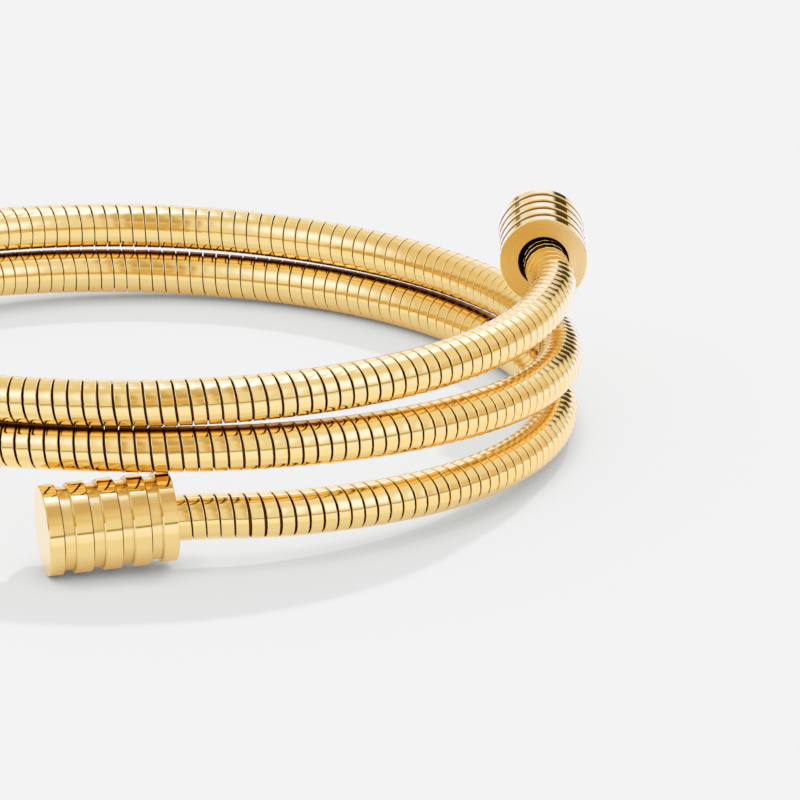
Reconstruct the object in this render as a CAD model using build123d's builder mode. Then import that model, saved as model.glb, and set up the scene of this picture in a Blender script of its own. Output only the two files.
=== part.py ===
# Coil bracelet: one flexible strip-wound metal tube, sprung into a little over two
# turns, with a ridged barrel cap on each end. Millimetres, +Z up. It lies as it does
# by itself, on its lowest run and on the rim of the lower cap, and the origin is the
# middle of its footprint on the surface.
from build123d import *
import math
import os

os.makedirs("parts", exist_ok=True)

# Tube, and the coil that it is sprung into
tube_diameter = 3.5
tube_wall = 0.5
wrist_diameter = 58.6

# Barrel caps, whose lands stand proud of the grooves between them
cap_wall = 1.445
bore_clearance = 0.225
end_land_width = 1.2
middle_land_width = 1.36
middle_land_count = 3
groove_width = 0.83
groove_depth = 0.3
closed_end_thickness = 3.4
seat_clearance = 0.1
rim_chamfer = 0.08
bore_chamfer = 0.04

# The coil comes down clockwise, seen from above. A row stands at every eighth of a
# turn, from one eighth before the point straight to the right. Heights are in tube
# diameters above the surface, and reach is a share of the coil's own radius.
first_row_degrees = -45.0
row_step_degrees = 45.0
coil_rows = [
    # (height, reach)
    (3.34, 0.974),
    (3.47, 0.982),
    (3.67, 0.992),
    (3.65, 0.999),
    (3.28, 1.004),
    (2.64, 1.008),
    (1.98, 1.010),
    (1.63, 1.012),
    (1.54, 1.010),
    (1.83, 1.009),
    (2.40, 1.004),
    (2.61, 1.000),
    (2.22, 0.997),
    (1.58, 0.995),
    (0.95, 0.994),
    (0.57, 0.994),
    (0.50, 0.994),
    (0.56, 0.998),
    (0.85, 1.000),
    (1.09, 1.004),
    (0.90, 1.012),
]

# The route's corners are evenly spaced round the coil, so that the passes nest. Each
# one stands off the middle of its neighbours a quarter further than the coil's own
# line does, which is as much as the arcs then cut inside it.
first_corner_degrees = 2.5
corner_step_degrees = 22.5
corner_count = 36
overshoot_share = 0.25
arc_share = 0.45

# Where each cap's mouth is on the coil, which way its closed end points, and how the
# tube lies in its bore. Turn, heading and dip are in degrees, height and lead in tube
# diameters, and the tube's shifts are shares of the bore's clearance. The lead is how
# far outside the mouth the route has its first corner.
cap_rows = {
    # name: (turn, height, reach, heading, dip, tube_sideways, tube_down, lead)
    "upper_end_cap": (-10.05, 3.427, 0.980, 90.5, 4.4, 0.05, 0.50, 0.14),
    "lower_end_cap": (806.35, 1.13, 1.005, 192.2, 3.5, 0.0, 0.45, 0.17),
}

tube_radius = tube_diameter / 2
coil_radius = wrist_diameter / 2 + tube_radius
bore_radius = tube_radius + bore_clearance
cap_radius = bore_radius + cap_wall
lands_length = 2 * end_land_width + middle_land_count * middle_land_width
groove_count = middle_land_count + 1
cap_length = lands_length + groove_count * groove_width
bore_depth = cap_length - closed_end_thickness
seat_depth = bore_depth - seat_clearance


def row_value(turn, column):
    """Smooth value of one column of coil_rows at any turn, through every row."""
    place = (turn - first_row_degrees) / row_step_degrees
    row = min(max(int(place), 1), len(coil_rows) - 3)
    t = place - row
    before, start, end, after = [entry[column] for entry in coil_rows[row - 1:row + 3]]
    slope = end - before
    bend = 2 * before - 5 * start + 4 * end - after
    twist = 3 * start - before - 3 * end + after
    return start + 0.5 * (slope * t + bend * t ** 2 + twist * t ** 3)


def coil_point(turn, height, reach):
    """Point at a turn round the coil, clockwise from the right, seen from above."""
    angle = math.radians(-turn)
    radius = coil_radius * reach
    return Vector(radius * math.cos(angle), radius * math.sin(angle), height * tube_diameter)


def coil_line_point(turn):
    """Point of the coil's own line, at the height and reach of its rows."""
    return coil_point(turn, row_value(turn, 0), row_value(turn, 1))


def coil_corner(turn):
    """Corner of the route that carries the arcs along the coil's own line."""
    here = coil_line_point(turn)
    before = coil_line_point(turn - corner_step_degrees)
    after = coil_line_point(turn + corner_step_degrees)
    return here + (here - (before + after) / 2) * overshoot_share


def cap_axis(name):
    """Direction from a cap's mouth to its closed end."""
    heading, dip = [math.radians(value) for value in cap_rows[name][3:5]]
    level = math.cos(dip)
    return Vector(level * math.cos(heading), level * math.sin(heading), -math.sin(dip))


def cap_sideways(name):
    """Level direction across a cap, away from the coil's middle at the upper cap."""
    heading = math.radians(cap_rows[name][3])
    return Vector(math.sin(heading), -math.cos(heading), 0)


def cap_mouth(name):
    """Middle of a cap's open face."""
    turn, height, reach = cap_rows[name][:3]
    return coil_point(turn, height, reach)


def tube_end_points(name):
    """The tube's last point in the cap, and its corner just outside the mouth."""
    sideways_share, down_share, lead = cap_rows[name][5:]
    shift = cap_sideways(name) * (sideways_share * bore_clearance)
    shift = shift + Vector(0, 0, -down_share * bore_clearance)
    line = cap_mouth(name) + shift
    tip = line + cap_axis(name) * seat_depth
    corner = line - cap_axis(name) * (lead * tube_diameter)
    return tip, corner


def route_points():
    """Corners of the tube's route, from the upper cap's seat to the lower cap's."""
    upper_tip, upper_corner = tube_end_points("upper_end_cap")
    lower_tip, lower_corner = tube_end_points("lower_end_cap")
    points = [upper_tip, upper_corner]
    for index in range(corner_count):
        points.append(coil_corner(first_corner_degrees + index * corner_step_degrees))
    return points + [lower_corner, lower_tip]


def corner_radii(points):
    """One arc radius for each inner corner, as large as its two runs allow."""
    radii = []
    for before, corner, after in zip(points, points[1:], points[2:]):
        arriving = corner - before
        leaving = after - corner
        half_turn = math.radians(arriving.get_angle(leaving)) / 2
        shorter_run = min(arriving.length, leaving.length)
        radii.append(arc_share * shorter_run / math.tan(half_turn))
    return radii


def end_cap(name):
    """Turned barrel with a blind bore, lathed about its own axis."""
    axis = cap_axis(name)
    mouth = cap_mouth(name)
    lathe_plane = Plane(origin=mouth, x_dir=axis, z_dir=cap_sideways(name))
    with BuildPart() as cap:
        with BuildSketch(lathe_plane):
            with Locations((cap_length / 2, cap_radius / 2)):
                Rectangle(cap_length, cap_radius)
            groove_start = end_land_width
            for _ in range(groove_count):
                with Locations((groove_start + groove_width / 2, cap_radius)):
                    Rectangle(groove_width, 2 * groove_depth, mode=Mode.SUBTRACT)
                groove_start += groove_width + middle_land_width
            chamfer(vertices().group_by(Axis.Y)[-1], rim_chamfer)
            with Locations((bore_depth / 2, bore_radius / 2)):
                Rectangle(bore_depth, bore_radius, mode=Mode.SUBTRACT)
            mouth_corner = vertices().sort_by_distance((0, bore_radius))[0]
            chamfer(mouth_corner, bore_chamfer)
        revolve(axis=Axis(mouth, axis))
    return cap


# Caps
pieces = {}
for cap_name in cap_rows:
    pieces[cap_name] = end_cap(cap_name)

# Wound tube, hollow from end to end
route = route_points()
radii = corner_radii(route)
with BuildPart() as wound_tube:
    with BuildLine() as tube_line:
        FilletPolyline(*route, radius=radii)
    with BuildSketch(Plane(origin=route[0], z_dir=route[1] - route[0])):
        Circle(tube_radius)
        Circle(tube_radius - tube_wall, mode=Mode.SUBTRACT)
    sweep()
pieces["wound_tube"] = wound_tube

# The middle of the footprint and the lowest point go to the origin
whole = Compound(children=[piece.part for piece in pieces.values()]).bounding_box()
to_origin = Vector(-whole.center().X, -whole.center().Y, -whole.min.Z)

for name, piece in pieces.items():
    solid = piece.part.solid().moved(Location(to_origin))
    solid.label = name
    export_step(solid, f"parts/{name}.step")

section_area = math.pi * (tube_radius ** 2 - (tube_radius - tube_wall) ** 2)
line_length = sum(edge.length for edge in tube_line.edges())
print("arc radii", [round(radius, 1) for radius in radii])
print("tube length", round(line_length, 2))
print("tube volume", round(wound_tube.part.volume, 2), "section x length", round(section_area * line_length, 2))
print("cap length", round(cap_length, 3), "cap diameter", round(2 * cap_radius, 3))
print("moved to origin by", to_origin)
for cap_name in cap_rows:
    closed_face = cap_mouth(cap_name) + cap_axis(cap_name) * cap_length + to_origin
    print(cap_name, "closed face", closed_face, "axis", cap_axis(cap_name))
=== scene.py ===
import math

import bpy
from mathutils import Matrix, Vector


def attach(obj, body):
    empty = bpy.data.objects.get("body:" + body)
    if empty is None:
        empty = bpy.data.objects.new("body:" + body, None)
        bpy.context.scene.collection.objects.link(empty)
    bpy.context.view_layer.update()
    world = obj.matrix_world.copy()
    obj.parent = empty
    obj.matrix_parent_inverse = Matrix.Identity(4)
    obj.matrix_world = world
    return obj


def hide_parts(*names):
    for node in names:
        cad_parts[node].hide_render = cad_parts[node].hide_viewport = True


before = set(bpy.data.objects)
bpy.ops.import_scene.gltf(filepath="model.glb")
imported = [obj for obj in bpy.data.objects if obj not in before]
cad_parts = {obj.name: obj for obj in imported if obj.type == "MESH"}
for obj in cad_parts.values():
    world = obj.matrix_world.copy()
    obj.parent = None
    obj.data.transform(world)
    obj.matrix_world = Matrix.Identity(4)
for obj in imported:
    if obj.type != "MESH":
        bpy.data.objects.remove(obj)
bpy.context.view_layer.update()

# End caps: two barrels turned from solid gold-coloured rod, with four grooves cut between
# polished ridges. Each is bored from one end, pushed over an end of the tube and fixed there,
# so one stands where the coil starts and the other where it stops.
tube_diameter = 0.0035
wrist_diameter = 0.0586
tube_radius = tube_diameter / 2
coil_radius = wrist_diameter / 2 + tube_radius

# The frame's origin is the middle of the footprint, a little off the coil's own middle
coil_middle = Vector((-0.000145, 0.001661, 0.000052))

cap_wall = 0.001445
bore_clearance = 0.000225
end_land_width = 0.0012
middle_land_width = 0.00136
middle_land_count = 3
groove_width = 0.00083
groove_depth = 0.0003
closed_end_thickness = 0.0034
bore_radius = tube_radius + bore_clearance
cap_radius = bore_radius + cap_wall
groove_count = middle_land_count + 1
cap_length = 2 * end_land_width + middle_land_count * middle_land_width + groove_count * groove_width
bore_depth = cap_length - closed_end_thickness

# Turn, heading and dip are in degrees, height and lead in tube diameters, reach in shares of
# the coil's own radius, and the tube's shifts in the bore in shares of the bore's clearance
cap_rows = {
    # name: (turn, height, reach, heading, dip, tube_sideways, tube_down, lead)
    "upper_end_cap": (-10.05, 3.427, 0.980, 90.5, 4.4, 0.05, 0.50, 0.14),
    "lower_end_cap": (806.35, 1.13, 1.005, 192.2, 3.5, 0.0, 0.45, 0.17),
}


def coil_point(turn, height, reach):
    """Point at a turn round the coil, clockwise from the right, seen from above."""
    angle = math.radians(-turn)
    radius = coil_radius * reach
    level = Vector((radius * math.cos(angle), radius * math.sin(angle), height * tube_diameter))
    return coil_middle + level


def cap_axis(name):
    """Direction from a cap's mouth to its closed end."""
    heading, dip = [math.radians(value) for value in cap_rows[name][3:5]]
    level = math.cos(dip)
    return Vector((level * math.cos(heading), level * math.sin(heading), -math.sin(dip)))


def cap_sideways(name):
    """Level direction across a cap."""
    heading = math.radians(cap_rows[name][3])
    return Vector((math.sin(heading), -math.cos(heading), 0))


def cap_mouth(name):
    """Middle of a cap's open face."""
    turn, height, reach = cap_rows[name][:3]
    return coil_point(turn, height, reach)


def node(tree, kind, inputs=None, **settings):
    """One node of a tree, with its settings, and its inputs linked or set by name or number."""
    made = tree.nodes.new(kind)
    for name, value in settings.items():
        setattr(made, name, value)
    for key, value in (inputs or {}).items():
        socket = made.inputs[key]
        if isinstance(value, bpy.types.NodeSocket):
            tree.links.new(value, socket)
        else:
            socket.default_value = value
    return made


def math_node(tree, operation, first, second=0.0):
    """Result of one sum on two values or sockets."""
    return node(tree, "ShaderNodeMath", {0: first, 1: second}, operation=operation).outputs[0]


def opposite(tree, share):
    """What a share leaves of one."""
    return math_node(tree, "SUBTRACT", 1.0, share)


def mixed_colour(tree, share, first, second):
    """Colour that goes from the first to the second as the share goes from none to one."""
    return node(tree, "ShaderNodeMix", {0: share, 6: first, 7: second}, data_type="RGBA").outputs[2]


def mixed_value(tree, share, first, second):
    """Number that goes from the first to the second as the share goes from none to one."""
    return node(tree, "ShaderNodeMix", {0: share, 2: first, 3: second}, data_type="FLOAT").outputs[0]


def ramped(tree, value, start, end, first=0.0, last=1.0, smooth=True):
    """Number that goes from the first to the last as a value passes from start to end."""
    way = "SMOOTHSTEP" if smooth else "LINEAR"
    return node(tree, "ShaderNodeMapRange", {0: value, 1: start, 2: end, 3: first, 4: last},
                interpolation_type=way).outputs[0]


# Turned surface: says which face of a barrel a place is on, and gives the tool's fine rings
turned_surface = bpy.data.node_groups.new("lathe_surface", "ShaderNodeTree")
surface_face = turned_surface.interface
surface_face.new_socket("Place", in_out="INPUT", socket_type="NodeSocketVector")
for socket_name in ("Length", "Barrel Radius", "Groove Depth", "Bore Radius"):
    surface_face.new_socket(socket_name, in_out="INPUT", socket_type="NodeSocketFloat")
for socket_name in ("Groove", "Wall", "Open Face", "Closed Face", "Bore", "Rings"):
    surface_face.new_socket(socket_name, in_out="OUTPUT", socket_type="NodeSocketFloat")
surface_entry = turned_surface.nodes.new("NodeGroupInput").outputs
surface_leave = turned_surface.nodes.new("NodeGroupOutput").inputs
place_parts = node(turned_surface, "ShaderNodeSeparateXYZ", {0: surface_entry["Place"]}).outputs
flat_place = node(turned_surface, "ShaderNodeCombineXYZ", {0: place_parts[0], 1: place_parts[1]}).outputs[0]
from_axis = node(turned_surface, "ShaderNodeVectorMath", {0: flat_place}, operation="LENGTH").outputs["Value"]
along_axis = place_parts[2]
barrel_radius = surface_entry["Barrel Radius"]
cut_depth = surface_entry["Groove Depth"]
tolerance = 0.00003
rim_height = 3 * tolerance
rings_out = 9000.0
rings_along = 40000.0
on_mouth = math_node(turned_surface, "LESS_THAN", along_axis, tolerance)
past_end = math_node(turned_surface, "SUBTRACT", surface_entry["Length"], tolerance)
on_end = math_node(turned_surface, "GREATER_THAN", along_axis, past_end)
bore_edge = math_node(turned_surface, "ADD", surface_entry["Bore Radius"], tolerance)
in_bore = math_node(turned_surface, "LESS_THAN", from_axis, bore_edge)
in_bore = math_node(turned_surface, "MULTIPLY", in_bore, opposite(turned_surface, on_end))
on_flat = math_node(turned_surface, "MAXIMUM", on_mouth, on_end)
off_barrel = math_node(turned_surface, "MAXIMUM", on_flat, in_bore)
half_depth = math_node(turned_surface, "MULTIPLY", cut_depth, 0.5)
half_way = math_node(turned_surface, "SUBTRACT", barrel_radius, half_depth)
in_groove = math_node(turned_surface, "LESS_THAN", from_axis, half_way)
in_groove = math_node(turned_surface, "MULTIPLY", in_groove, opposite(turned_surface, off_barrel))
groove_floor = math_node(turned_surface, "SUBTRACT", barrel_radius, cut_depth)
floor_edge = math_node(turned_surface, "ADD", groove_floor, tolerance / 2)
above_floor = math_node(turned_surface, "GREATER_THAN", from_axis, floor_edge)
rim_edge = math_node(turned_surface, "SUBTRACT", barrel_radius, rim_height)
below_rim = math_node(turned_surface, "LESS_THAN", from_axis, rim_edge)
on_wall = math_node(turned_surface, "MULTIPLY", above_floor, below_rim)
on_wall = math_node(turned_surface, "MULTIPLY", on_wall, opposite(turned_surface, off_barrel))
ring_place = math_node(turned_surface, "ADD", math_node(turned_surface, "MULTIPLY", from_axis, rings_out),
                       math_node(turned_surface, "MULTIPLY", along_axis, rings_along))
rings = node(turned_surface, "ShaderNodeTexNoise", {"W": ring_place, "Scale": 1.0, "Detail": 3.0},
             noise_dimensions="1D").outputs[0]
for socket_name, share in (("Groove", in_groove), ("Wall", on_wall), ("Open Face", on_mouth),
                           ("Closed Face", on_end), ("Bore", in_bore), ("Rings", rings)):
    turned_surface.links.new(share, surface_leave[socket_name])

ridge_light = (1.0, 0.75, 0.29, 1)
ridge_deep = (0.97, 0.71, 0.265, 1)
open_face_light = (0.98, 0.71, 0.22, 1)
open_face_deep = (0.87, 0.57, 0.14, 1)
# Painted sheen: the open face is painted paler towards one side, as if it caught more light there
open_face_painted_sheen = (0.98, 0.73, 0.33, 1)
sheen_side_start = -0.001
sheen_side_end = 0.0025
# Painted shade: the groove walls and the inside of the bore are painted brown
groove_wall_painted_shade = (0.55, 0.33, 0.10, 1)
bore_painted_shade = (0.45, 0.24, 0.08, 1)
ridge_roughness = 0.035
groove_roughness = 0.15
open_face_roughness = 0.30
closed_face_roughness = 0.22
bore_roughness = 0.45
groove_ring_share = 0.25
ring_relief = 0.00003
ring_strength = 0.6

# What the gold throws on the paper stays grey, so that the paper keeps its own colour
bounce_grey = (0.3, 0.3, 0.3, 1)

for name in cap_rows:
    turned_gold = bpy.data.materials.new("turned_gold_" + name)
    turned_gold.use_nodes = True
    finish = turned_gold.node_tree
    turned_shader = finish.nodes["Principled BSDF"]
    turned_shader.inputs["Metallic"].default_value = 1.0
    own_axes = (cap_sideways(name), cap_axis(name).cross(cap_sideways(name)), cap_axis(name))
    own_turn = Matrix(own_axes).transposed().to_euler()
    object_place = node(finish, "ShaderNodeTexCoord").outputs["Object"]
    own_place = node(finish, "ShaderNodeMapping",
                     {"Vector": object_place, "Location": cap_mouth(name), "Rotation": own_turn},
                     vector_type="TEXTURE").outputs[0]
    found = node(finish, "ShaderNodeGroup",
                 {"Place": own_place, "Length": cap_length, "Barrel Radius": cap_radius,
                  "Groove Depth": groove_depth, "Bore Radius": bore_radius},
                 node_tree=turned_surface).outputs

    # Painted sheen across the open face: paler towards its outer side
    own_across = node(finish, "ShaderNodeSeparateXYZ", {0: own_place}).outputs[0]
    painted_sheen_side = ramped(finish, own_across, sheen_side_start, sheen_side_end)
    faced = mixed_colour(finish, found["Rings"], open_face_light, open_face_deep)
    faced = mixed_colour(finish, painted_sheen_side, faced, open_face_painted_sheen)
    tone = mixed_colour(finish, found["Rings"], ridge_light, ridge_deep)
    tone = mixed_colour(finish, found["Open Face"], tone, faced)
    # Painted shade in the groove walls and down the bore
    tone = mixed_colour(finish, found["Wall"], tone, groove_wall_painted_shade)
    tone = mixed_colour(finish, found["Bore"], tone, bore_painted_shade)
    on_paper = node(finish, "ShaderNodeLightPath").outputs["Is Diffuse Ray"]
    tone = mixed_colour(finish, on_paper, tone, bounce_grey)
    finish.links.new(tone, turned_shader.inputs["Base Color"])

    rough = mixed_value(finish, found["Groove"], ridge_roughness, groove_roughness)
    rough = mixed_value(finish, found["Open Face"], rough, open_face_roughness)
    rough = mixed_value(finish, found["Closed Face"], rough, closed_face_roughness)
    rough = mixed_value(finish, found["Bore"], rough, bore_roughness)
    finish.links.new(rough, turned_shader.inputs["Roughness"])

    groove_rings = math_node(finish, "MULTIPLY", found["Groove"], groove_ring_share)
    ringed = math_node(finish, "ADD", groove_rings, found["Open Face"])
    tool_marks = math_node(finish, "MULTIPLY", found["Rings"], ringed)
    relief = node(finish, "ShaderNodeBump",
                  {"Strength": ring_strength, "Distance": ring_relief, "Height": tool_marks})
    finish.links.new(relief.outputs[0], turned_shader.inputs["Normal"])
    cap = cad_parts[name]
    cap.data.materials.clear()
    cap.data.materials.append(turned_gold)

# Wound strip: the tube is one flat gold-coloured strip, rolled to a stepped section and wound
# on itself in a single right-hand helix, so that each winding's foot slides under the next
# one. It is sprung into a little over two turns that come down clockwise, seen from above.
seat_clearance = 0.0001
first_row_degrees = -45.0
row_step_degrees = 45.0
coil_rows = [
    # (height, reach), a row at every eighth of a turn
    (3.34, 0.974),
    (3.47, 0.982),
    (3.67, 0.992),
    (3.65, 0.999),
    (3.28, 1.004),
    (2.64, 1.008),
    (1.98, 1.010),
    (1.63, 1.012),
    (1.54, 1.010),
    (1.83, 1.009),
    (2.40, 1.004),
    (2.61, 1.000),
    (2.22, 0.997),
    (1.58, 0.995),
    (0.95, 0.994),
    (0.57, 0.994),
    (0.50, 0.994),
    (0.56, 0.998),
    (0.85, 1.000),
    (1.09, 1.004),
    (0.90, 1.012),
]
first_corner_degrees = 2.5
corner_step_degrees = 22.5
corner_count = 36
overshoot_share = 0.25


def row_value(turn, column):
    """Smooth value of one column of coil_rows at any turn, through every row."""
    place = (turn - first_row_degrees) / row_step_degrees
    row = min(max(int(place), 1), len(coil_rows) - 3)
    t = place - row
    before, start, end, after = [entry[column] for entry in coil_rows[row - 1:row + 3]]
    slope = end - before
    bend = 2 * before - 5 * start + 4 * end - after
    twist = 3 * start - before - 3 * end + after
    return start + 0.5 * (slope * t + bend * t ** 2 + twist * t ** 3)


def coil_line_point(turn):
    """Point of the coil's own line, at the height and reach of its rows."""
    return coil_point(turn, row_value(turn, 0), row_value(turn, 1))


def coil_corner(turn):
    """Control point that carries the smooth line along the coil's own line."""
    here = coil_line_point(turn)
    before = coil_line_point(turn - corner_step_degrees)
    after = coil_line_point(turn + corner_step_degrees)
    return here + (here - (before + after) / 2) * overshoot_share


def tube_end_points(name):
    """The tube's last point in a cap, and its corner just outside the mouth."""
    sideways_share, down_share, lead = cap_rows[name][5:]
    shift = cap_sideways(name) * (sideways_share * bore_clearance)
    shift = shift + Vector((0, 0, -down_share * bore_clearance))
    line = cap_mouth(name) + shift
    tip = line + cap_axis(name) * (bore_depth - seat_clearance)
    corner = line - cap_axis(name) * (lead * tube_diameter)
    return tip, corner


upper_tip, upper_corner = tube_end_points("upper_end_cap")
lower_tip, lower_corner = tube_end_points("lower_end_cap")
route = [upper_tip, upper_corner]
for index in range(corner_count):
    route.append(coil_corner(first_corner_degrees + index * corner_step_degrees))
route += [lower_corner, lower_tip]

route_curve = bpy.data.curves.new("tube_route", "CURVE")
route_curve.dimensions = "3D"
route_curve.resolution_u = 24
route_spline = route_curve.splines.new("NURBS")
route_spline.points.add(len(route) - 1)
for point, place in zip(route_spline.points, route):
    point.co = (*place, 1)
route_spline.order_u = 3
route_spline.use_endpoint_u = True
strip = bpy.data.objects.new("wound_strip", route_curve)
bpy.context.collection.objects.link(strip)

winding_pitch = 0.00109
sides_per_winding = 17
start_angle = 0.0
winding_lean = 0.05
band_half_width = 0.00049
rim_place = 0.00044
rim_width = 0.00005
edge_drop = 0.00005
hollow = 0.0000115
hollow_half_width = rim_place / 2.2
shoulder_dip = hollow / 14
band_thickness = 0.00022
foot_depth = 0.0003
foot_reach = 0.0008
foot_thickness = 0.00006
section_outline = [
    # (along the tube, out from its surface)
    (-band_half_width, -edge_drop),
    (-band_half_width + rim_width / 3, -edge_drop / 3),
    (-rim_place, 0),
    (-rim_place + rim_width / 2, -shoulder_dip),
    (-hollow_half_width, -hollow),
    (hollow_half_width, -hollow),
    (rim_place - rim_width / 2, -shoulder_dip),
    (rim_place, 0),
    (band_half_width - rim_width / 3, -edge_drop / 3),
    (band_half_width, -edge_drop),
    (band_half_width, -foot_depth),
    (foot_reach, -foot_depth - foot_thickness),
    (0, -foot_depth - band_thickness / 2),
    (-band_half_width, -band_thickness),
]
section_curve = bpy.data.curves.new("strip_section", "CURVE")
section_curve.dimensions = "3D"
section_spline = section_curve.splines.new("POLY")
section_spline.points.add(len(section_outline) - 1)
for point, (along, out) in zip(section_spline.points, section_outline):
    point.co = (out, -along, 0, 1)
section_spline.use_cyclic_u = True
section = bpy.data.objects.new("strip_section", section_curve)
bpy.context.collection.objects.link(section)


def scaled(tree, vector, amount):
    """A vector socket times a number or socket."""
    return node(tree, "ShaderNodeVectorMath", {0: vector, "Scale": amount}, operation="SCALE").outputs[0]


def summed(tree, first, second):
    """Sum of two vector sockets."""
    return node(tree, "ShaderNodeVectorMath", {0: first, 1: second}, operation="ADD").outputs[0]


def kept_number(tree, geometry, name, value):
    """Geometry that keeps a number on each point under a name."""
    return node(tree, "GeometryNodeStoreNamedAttribute", {"Geometry": geometry, "Name": name, "Value": value},
                data_type="FLOAT", domain="POINT").outputs[0]


winding = bpy.data.node_groups.new("wind_strip_on_route", "GeometryNodeTree")
winding_face = winding.interface
winding_face.new_socket("Route", in_out="INPUT", socket_type="NodeSocketGeometry")
section_input = winding_face.new_socket("Section", in_out="INPUT", socket_type="NodeSocketObject")
windings_input = winding_face.new_socket("Windings", in_out="INPUT", socket_type="NodeSocketInt")
radius_input = winding_face.new_socket("Tube Radius", in_out="INPUT", socket_type="NodeSocketFloat")
sides_input = winding_face.new_socket("Sides", in_out="INPUT", socket_type="NodeSocketInt")
start_input = winding_face.new_socket("Start Angle", in_out="INPUT", socket_type="NodeSocketFloat")
tilt_input = winding_face.new_socket("Tilt", in_out="INPUT", socket_type="NodeSocketFloat")
gold_input = winding_face.new_socket("Gold", in_out="INPUT", socket_type="NodeSocketMaterial")
winding_face.new_socket("Strip", in_out="OUTPUT", socket_type="NodeSocketGeometry")
entry = winding.nodes.new("NodeGroupInput").outputs

point_count = math_node(winding, "MULTIPLY", entry["Windings"], entry["Sides"])
level_route = node(winding, "GeometryNodeSetCurveNormal", {"Curve": entry["Route"]}, mode="Z_UP").outputs[0]
even_route = node(winding, "GeometryNodeResampleCurve", {"Curve": level_route, "Count": point_count},
                  mode="COUNT").outputs[0]

# Each point stands at its own angle round the route: out along the normal, up across it
step_index = node(winding, "GeometryNodeInputIndex").outputs[0]
winding_number = math_node(winding, "DIVIDE", step_index, entry["Sides"])
angle = math_node(winding, "MULTIPLY", winding_number, math.tau)
angle = math_node(winding, "ADD", angle, entry["Start Angle"])
tangent = node(winding, "GeometryNodeInputTangent").outputs[0]
normal = node(winding, "GeometryNodeInputNormal").outputs[0]
across = node(winding, "ShaderNodeVectorMath", {0: tangent, 1: normal}, operation="CROSS_PRODUCT").outputs[0]
outward = summed(winding, scaled(winding, normal, math_node(winding, "COSINE", angle)),
                 scaled(winding, across, math_node(winding, "SINE", angle)))

# The windings lean a little to and fro along the tube, so that no two gaps are quite alike
unevenness = node(winding, "ShaderNodeTexNoise", {"W": winding_number, "Scale": 0.9, "Detail": 1.0},
                  noise_dimensions="1D").outputs[0]
noise_middle = 0.5
lean = math_node(winding, "SUBTRACT", unevenness, noise_middle)
lean = math_node(winding, "MULTIPLY", lean, entry["Tilt"])
leaning = summed(winding, outward, scaled(winding, tangent, lean))
kept = winding.nodes.new("GeometryNodeCaptureAttribute")
kept.domain = "POINT"
kept.capture_items.new("VECTOR", "Outward")
kept.capture_items.new("FLOAT", "Winding")
winding.links.new(even_route, kept.inputs["Geometry"])
winding.links.new(leaning, kept.inputs["Outward"])
winding.links.new(winding_number, kept.inputs["Winding"])
helix = node(winding, "GeometryNodeSetPosition",
             {"Geometry": kept.outputs["Geometry"], "Offset": scaled(winding, outward, entry["Tube Radius"])})
helix = node(winding, "GeometryNodeSetCurveNormal",
             {"Curve": helix.outputs[0], "Normal": kept.outputs["Outward"]}, mode="FREE").outputs[0]

# The section keeps how deep and how far across each of its points is, and is swept along
outline = node(winding, "GeometryNodeObjectInfo", {"Object": entry["Section"]})
section_place = node(winding, "GeometryNodeInputPosition").outputs[0]
section_parts = node(winding, "ShaderNodeSeparateXYZ", {0: section_place}).outputs
marked = winding.nodes.new("GeometryNodeCaptureAttribute")
marked.domain = "POINT"
marked.capture_items.new("FLOAT", "Depth")
marked.capture_items.new("FLOAT", "Across")
winding.links.new(outline.outputs["Geometry"], marked.inputs["Geometry"])
winding.links.new(math_node(winding, "MULTIPLY", section_parts[0], -1.0), marked.inputs["Depth"])
winding.links.new(section_parts[1], marked.inputs["Across"])
swept = node(winding, "GeometryNodeCurveToMesh",
             {"Curve": helix, "Profile Curve": marked.outputs["Geometry"], "Fill Caps": True}).outputs[0]
sharp_edge = math.radians(30)
crease = node(winding, "GeometryNodeInputMeshEdgeAngle").outputs[0]
smooth_edge = node(winding, "FunctionNodeCompare", {0: crease, 1: sharp_edge}, operation="LESS_THAN")
wound = node(winding, "GeometryNodeSetShadeSmooth",
             {"Geometry": swept, "Shade Smooth": smooth_edge.outputs[0]}, domain="EDGE").outputs[0]

# Each point also keeps how far off the next turn of the coil is, where one faces it
nothing_near = 0.002
ray_start_gap = 0.00003
plain_tube_sides = 12
plain_tube_step = 0.0015
round_line = node(winding, "GeometryNodeCurvePrimitiveCircle",
                  {"Resolution": plain_tube_sides, "Radius": entry["Tube Radius"]}).outputs[0]
coarse_route = node(winding, "GeometryNodeResampleCurve",
                    {"Curve": level_route, "Length": plain_tube_step}, mode="LENGTH").outputs[0]
plain_tube = node(winding, "GeometryNodeCurveToMesh",
                  {"Curve": coarse_route, "Profile Curve": round_line}).outputs[0]
here = node(winding, "GeometryNodeInputPosition").outputs[0]
facing_out = kept.outputs["Outward"]
just_outside = summed(winding, here, scaled(winding, facing_out, ray_start_gap))
next_turn = node(winding, "GeometryNodeRaycast",
                 {"Target Geometry": plain_tube, "Source Position": just_outside,
                  "Ray Direction": facing_out, "Ray Length": nothing_near}).outputs
clearance = node(winding, "GeometryNodeSwitch",
                 {"Switch": next_turn["Is Hit"], "False": nothing_near, "True": next_turn["Hit Distance"]},
                 input_type="FLOAT").outputs[0]
for attribute, value in (("depth", marked.outputs["Depth"]), ("across", marked.outputs["Across"]),
                         ("winding", kept.outputs["Winding"]), ("clearance", clearance)):
    wound = kept_number(winding, wound, attribute, value)
whole = node(winding, "GeometryNodeRealizeInstances", {"Geometry": wound}).outputs[0]
painted = node(winding, "GeometryNodeSetMaterial", {"Geometry": whole, "Material": entry["Gold"]}).outputs[0]
winding_leave = winding.nodes.new("NodeGroupOutput")
winding.links.new(painted, winding_leave.inputs["Strip"])

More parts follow.
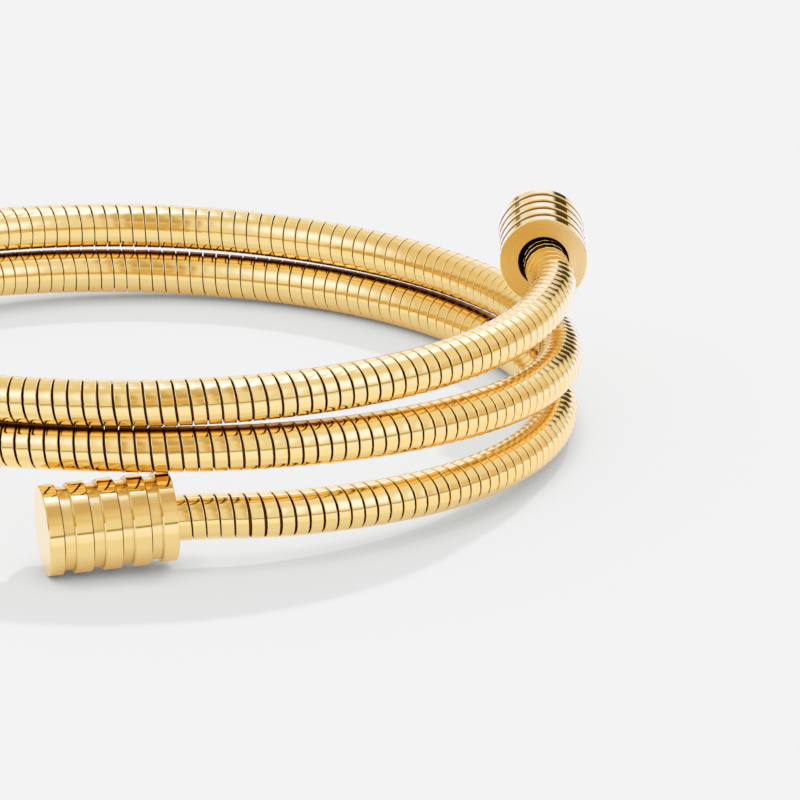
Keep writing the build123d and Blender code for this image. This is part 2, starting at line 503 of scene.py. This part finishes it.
band_light = (1.0, 0.74, 0.28, 1)
band_deep = (0.97, 0.70, 0.255, 1)
# Painted shade: brown next to the next turn, and dark in the gaps, where turns nearly touch and inside the
# caps
beside_painted_shade = (0.60, 0.34, 0.06, 1)
gap_painted_shade = (0.17, 0.05, 0.003, 1)
band_edge_tint = (1, 1, 1, 1)
gap_shade_edge_tint = (0.3, 0.12, 0.03, 1)
gap_dark_start = 0.00006
gap_dark_end = 0.00016
beside_near = 0.0004
beside_far = 0.0013
beside_share = 0.9
touching_near = 0.0002
touching_far = 0.0007
touching_share = 0.68
windings_hidden = 3.9
windings_clear = 4.7
streak_low = 0.3
streak_high = 0.7
band_roughness = 0.05
streak_roughness = 0.13
gap_roughness = 0.5
streak_share = 0.1
ripple_height = 0.00002
ripple_strength = 0.5
winding_count = round(sum(piece.calc_length() for piece in route_curve.splines) / winding_pitch)

rolled_gold = bpy.data.materials.new("rolled_gold_strip")
rolled_gold.use_nodes = True
finish = rolled_gold.node_tree
band_shader = finish.nodes["Principled BSDF"]
band_shader.inputs["Metallic"].default_value = 1.0
depth_read = node(finish, "ShaderNodeAttribute", attribute_name="depth").outputs["Fac"]
across_read = node(finish, "ShaderNodeAttribute", attribute_name="across").outputs["Fac"]
winding_read = node(finish, "ShaderNodeAttribute", attribute_name="winding").outputs["Fac"]
clearance_read = node(finish, "ShaderNodeAttribute", attribute_name="clearance").outputs["Fac"]

# Rolling marks run along the strip: slow along it, fine across it
marks_per_winding = 2.0
marks_across = 24000.0
rolled_place = node(finish, "ShaderNodeCombineXYZ",
                    {0: math_node(finish, "MULTIPLY", winding_read, marks_per_winding),
                     1: math_node(finish, "MULTIPLY", across_read, marks_across)}).outputs[0]
streaks = node(finish, "ShaderNodeTexNoise", {"Vector": rolled_place, "Scale": 1.0, "Detail": 3.0}).outputs[0]

# Painted shade: the gold is painted brown next to the next turn of the coil, and painted dark in the gaps,
# where two turns nearly touch, and in the bores
recess_shade = ramped(finish, depth_read, gap_dark_start, gap_dark_end, smooth=False)
beside_shade = ramped(finish, clearance_read, beside_near, beside_far, beside_share, 0.0)
touching_shade = ramped(finish, clearance_read, touching_near, touching_far, touching_share, 0.0)
windings_after = math_node(finish, "SUBTRACT", winding_count, winding_read)
windings_left = math_node(finish, "MINIMUM", winding_read, windings_after)
hidden_shade = ramped(finish, windings_left, windings_hidden, windings_clear, 1.0, 0.0, smooth=False)
painted_shade_places = math_node(finish, "MAXIMUM", math_node(finish, "MAXIMUM", recess_shade, touching_shade), hidden_shade)
tone = mixed_colour(finish, streaks, band_light, band_deep)
tone = mixed_colour(finish, beside_shade, tone, beside_painted_shade)
tone = mixed_colour(finish, painted_shade_places, tone, gap_painted_shade)
on_paper = node(finish, "ShaderNodeLightPath").outputs["Is Diffuse Ray"]
tone = mixed_colour(finish, on_paper, tone, bounce_grey)
finish.links.new(tone, band_shader.inputs["Base Color"])
rough = ramped(finish, streaks, streak_low, streak_high, band_roughness, streak_roughness, smooth=False)
rough = mixed_value(finish, painted_shade_places, rough, gap_roughness)
finish.links.new(rough, band_shader.inputs["Roughness"])
# The edge tint is darkened with the painted shade as well
edge_tint = mixed_colour(finish, painted_shade_places, band_edge_tint, gap_shade_edge_tint)
finish.links.new(edge_tint, band_shader.inputs["Specular Tint"])
wander = node(finish, "ShaderNodeTexNoise", {"W": winding_read, "Scale": 2.2, "Detail": 2.0},
              noise_dimensions="1D").outputs[0]
swell = mixed_value(finish, streak_share, wander, streaks)
ripple = node(finish, "ShaderNodeBump",
              {"Strength": ripple_strength, "Distance": ripple_height, "Height": swell})
finish.links.new(ripple.outputs[0], band_shader.inputs["Normal"])

winder = strip.modifiers.new("winding", "NODES")
winder.node_group = winding
winder[section_input.identifier] = section
winder[windings_input.identifier] = winding_count
winder[radius_input.identifier] = tube_radius
winder[sides_input.identifier] = sides_per_winding
winder[start_input.identifier] = start_angle
winder[tilt_input.identifier] = winding_lean
winder[gold_input.identifier] = rolled_gold

evaluated = strip.evaluated_get(bpy.context.evaluated_depsgraph_get())
strip_mesh = bpy.data.meshes.new_from_object(evaluated)
strip_piece = bpy.data.objects.new("wound_strip_tube", strip_mesh)
bpy.context.collection.objects.link(strip_piece)
bpy.data.objects.remove(strip)
bpy.data.objects.remove(section)
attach(strip_piece, "root")
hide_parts("wound_tube")

# Paper floor: a wide sheet of plain pale paper that the bracelet lies on. It glows a little by
# itself, as an evenly lit sheet does, and is dark in the lamp's shadow and, as painted shade, right
# under the metal. What the gold mirrors of it is a painted reflection: brighter near the coil, painted golden
# shade right under the metal, and falling off far away.
paper_half_size = 3.0
paper_mesh = bpy.data.meshes.new("floor")
paper_mesh.from_pydata([(-paper_half_size, -paper_half_size, 0), (paper_half_size, -paper_half_size, 0),
                        (paper_half_size, paper_half_size, 0), (-paper_half_size, paper_half_size, 0)],
                       [], [(0, 1, 2, 3)])
floor = bpy.data.objects.new("floor", paper_mesh)
bpy.context.collection.objects.link(floor)
paper_lightness = 0.12
paper_glow = (0.690, 0.685, 0.649, 1)
bare_paper = (1, 1, 1, 1)
under_metal_painted_shade = (0.62, 0.36, 0.05, 1)
under_metal_reach = 0.0033
gold_falloff = 1.9
contact_falloff = 2.8
contact_share = 0.9
painted_reflection_tones = [
    # (distance from the frame's origin, painted tone that the gold mirrors)
    (0.025, (1.08, 1.13, 1.357)),
    (0.038, (1.14, 1.15, 1.274)),
    (0.047, (1.12, 1.171, 1.44)),
    (0.065, (1.08, 1.232, 1.888)),
    (0.090, (1.06, 1.253, 1.947)),
    (0.150, (1.03, 1.109, 1.44)),
    (0.500, (0.86, 0.781, 0.566)),
]
farthest = painted_reflection_tones[-1][0]

# A colour ramp holds no more than one, so each tone goes in as a share of the brightest
brightest = 2.0


def multiplied(tree, first, second):
    """Product of two colours."""
    return node(tree, "ShaderNodeMix", {0: 1.0, 6: first, 7: second}, data_type="RGBA",
                blend_type="MULTIPLY").outputs[2]


floor_paper = bpy.data.materials.new("floor_paper")
floor_paper.use_nodes = True
paper = floor_paper.node_tree
paper_shader = paper.nodes["Principled BSDF"]
paper_place = node(paper, "ShaderNodeTexCoord").outputs["Object"]
from_middle = node(paper, "ShaderNodeVectorMath", {0: paper_place}, operation="LENGTH").outputs["Value"]
ramp = node(paper, "ShaderNodeValToRGB", {0: math_node(paper, "DIVIDE", from_middle, farthest)})
while len(ramp.color_ramp.elements) < len(painted_reflection_tones):
    ramp.color_ramp.elements.new(0.5)
for element, (distance, tone) in zip(ramp.color_ramp.elements, painted_reflection_tones):
    element.position = distance / farthest
    element.color = (*[part / brightest for part in tone], 1)
# Painted contact shadow: the paper is painted darker where the metal closes in over it, and in the gold's
# mirror it is painted golden there
openness = node(paper, "ShaderNodeAmbientOcclusion", {"Distance": under_metal_reach}, samples=4)
closed_in = opposite(paper, openness.outputs["AO"])
under_metal_shade_share = math_node(paper, "POWER", closed_in, gold_falloff)
painted_reflection = mixed_colour(paper, under_metal_shade_share, bare_paper, under_metal_painted_shade)
painted_reflection = multiplied(paper, painted_reflection, scaled(paper, ramp.outputs[0], brightest))
painted_contact_shadow = math_node(paper, "POWER", closed_in, contact_falloff)
painted_contact_shadow = math_node(paper, "MULTIPLY", painted_contact_shadow, contact_share)
# The painted reflection tones show only in the gold's mirror
in_mirror = node(paper, "ShaderNodeLightPath").outputs["Is Glossy Ray"]
tint = mixed_colour(paper, in_mirror, opposite(paper, painted_contact_shadow), painted_reflection)
paper.links.new(scaled(paper, tint, paper_lightness), paper_shader.inputs["Base Color"])
paper.links.new(multiplied(paper, paper_glow, tint), paper_shader.inputs["Emission Color"])
paper_shader.inputs["Emission Strength"].default_value = 1.0
paper_shader.inputs["Roughness"].default_value = 0.9
paper_shader.inputs["Specular IOR Level"].default_value = 0.0
paper_mesh.materials.append(floor_paper)

# Studio: a small lamp behind, which throws the shadows towards the viewer, and soft boxes and
# plain cards far off all round, which the polished gold mirrors.
lamp_data = bpy.data.lights.new("back_lamp", "SUN")
lamp_data.energy = 3.53
lamp_data.angle = math.radians(3)
lamp = bpy.data.objects.new("back_lamp", lamp_data)
lamp_aim = Vector((-0.35, -0.83, -1.0))
lamp.rotation_euler = lamp_aim.to_track_quat("-Z", "Y").to_euler()
lamp.visible_glossy = False
bpy.context.collection.objects.link(lamp)

card = bpy.data.node_groups.new("studio_card", "ShaderNodeTree")
card_face = card.interface
for socket_name in ("Direction", "Facing", "Across", "Upward"):
    card_face.new_socket(socket_name, in_out="INPUT", socket_type="NodeSocketVector")
for socket_name in ("Half Width", "Half Height", "Softness"):
    card_face.new_socket(socket_name, in_out="INPUT", socket_type="NodeSocketFloat")
card_face.new_socket("Mask", in_out="OUTPUT", socket_type="NodeSocketFloat")
card_entry = card.nodes.new("NodeGroupInput").outputs


def card_part(axis):
    """How far the looked-in direction goes along one of the card's own directions."""
    return node(card, "ShaderNodeVectorMath", {0: card_entry["Direction"], 1: card_entry[axis]},
                operation="DOT_PRODUCT").outputs["Value"]


def within(angle, half):
    """One where an angle is within half of zero, falling smoothly to none past it."""
    size = math_node(card, "ABSOLUTE", angle)
    near_edge = math_node(card, "SUBTRACT", half, card_entry["Softness"])
    far_edge = math_node(card, "ADD", half, card_entry["Softness"])
    return ramped(card, size, near_edge, far_edge, 1.0, 0.0)


card_turn = math_node(card, "ARCTAN2", card_part("Across"), card_part("Facing"))
card_rise = math_node(card, "ARCSINE", card_part("Upward"))
card_mask = math_node(card, "MULTIPLY", within(card_turn, card_entry["Half Width"]),
                      within(card_rise, card_entry["Half Height"]))
card_leave = card.nodes.new("NodeGroupOutput")
card.links.new(card_mask, card_leave.inputs["Mask"])

# The rows brighter than one are soft boxes, and the rest are cards and dim parts of the room.
# Angles are in degrees, from the back round to the right, and a later row covers an earlier one.
room_colour = (0.87, 0.878, 0.944, 1)
studio_cards = [
    # (azimuth, elevation, half width, half height, softness, colour)
    (-70, 42, 24, 30, 12.0, (0.79, 0.729, 0.637)),
    (-84, 7, 44, 8, 5.0, (0.58, 0.442, 0.201)),
    (72, 9, 26, 11, 8.0, (0.78, 0.647, 0.496)),
    (163, 68, 9, 13, 5.0, (0.64, 0.524, 0.389)),
    (-140, 74, 14, 7, 6.0, (0.80, 0.739, 0.614)),
    (175, 32, 11, 26, 4.0, (0.71, 0.513, 0.283)),
    (174, 50, 8, 8, 4.0, (0.57, 0.442, 0.212)),
    (179, 7, 9, 2.5, 1.5, (0.42, 0.318, 0.165)),
    (170, 34, 9, 4, 2.5, (0.80, 0.678, 0.496)),
    (180, 1.5, 110, 3.0, 2.2, (0.42, 0.329, 0.118)),
    (-127, 41, 20, 15, 16.0, (1.08, 1.376, 2.714)),
    (119, 28, 15, 15, 9.0, (1.08, 1.315, 2.596)),
    (20, 45, 13, 20, 6.0, (1.08, 1.356, 2.714)),
    (1, 16, 6, 11, 4.0, (1.02, 1.089, 1.534)),
    (42, 76, 16, 9, 4.5, (1.08, 1.438, 3.422)),
    (17.5, 7.5, 9.5, 9, 1.2, (0.07, 0.05, 0.02)),
    (-13, 1.0, 3, 1.8, 0.8, (0.35, 0.257, 0.118)),
]
studio = bpy.data.worlds.new("studio")
studio.use_nodes = True
bpy.context.scene.world = studio
sky = studio.node_tree
direction = node(sky, "ShaderNodeTexCoord").outputs["Generated"]
room_light = room_colour
for azimuth, elevation, half_width, half_height, softness, colour in studio_cards:
    turn = math.radians(azimuth)
    rise = math.radians(elevation)
    facing = Vector((math.sin(turn) * math.cos(rise), math.cos(turn) * math.cos(rise), math.sin(rise)))
    across_card = Vector((math.cos(turn), -math.sin(turn), 0))
    shown = node(sky, "ShaderNodeGroup",
                 {"Direction": direction, "Facing": facing, "Across": across_card,
                  "Upward": across_card.cross(facing), "Half Width": math.radians(half_width),
                  "Half Height": math.radians(half_height), "Softness": math.radians(softness)},
                 node_tree=card).outputs["Mask"]
    room_light = mixed_colour(sky, shown, room_light, (*colour, 1))
sky.links.new(room_light, sky.nodes["Background"].inputs["Color"])
bpy.context.scene.view_settings.view_transform = "Standard"

# Camera: a long lens at the height of a seated viewer, aimed well to the right of the coil's
# middle, so that the coil runs out of the left of the picture.
camera_data = bpy.data.cameras.new("camera")
camera_data.lens = 407.3
camera_data.sensor_width = 36
camera_data.sensor_fit = "HORIZONTAL"
camera_data.clip_start = 0.01
camera_data.clip_end = 100
camera = bpy.data.objects.new("camera", camera_data)
bpy.context.collection.objects.link(camera)
bpy.context.scene.camera = camera
camera_elevation = math.radians(19.60)
camera_roll = math.radians(-0.811)
camera_place = Vector((0.018762, -0.662339, 0.238752))
ahead = Vector((0, math.cos(camera_elevation), -math.sin(camera_elevation)))
level_right = Vector((1, 0, 0))
level_up = level_right.cross(ahead)
right = level_right * math.cos(camera_roll) - level_up * math.sin(camera_roll)
up = level_up * math.cos(camera_roll) + level_right * math.sin(camera_roll)
camera.matrix_world = Matrix.Translation(camera_place) @ Matrix((right, up, -ahead)).transposed().to_4x4()
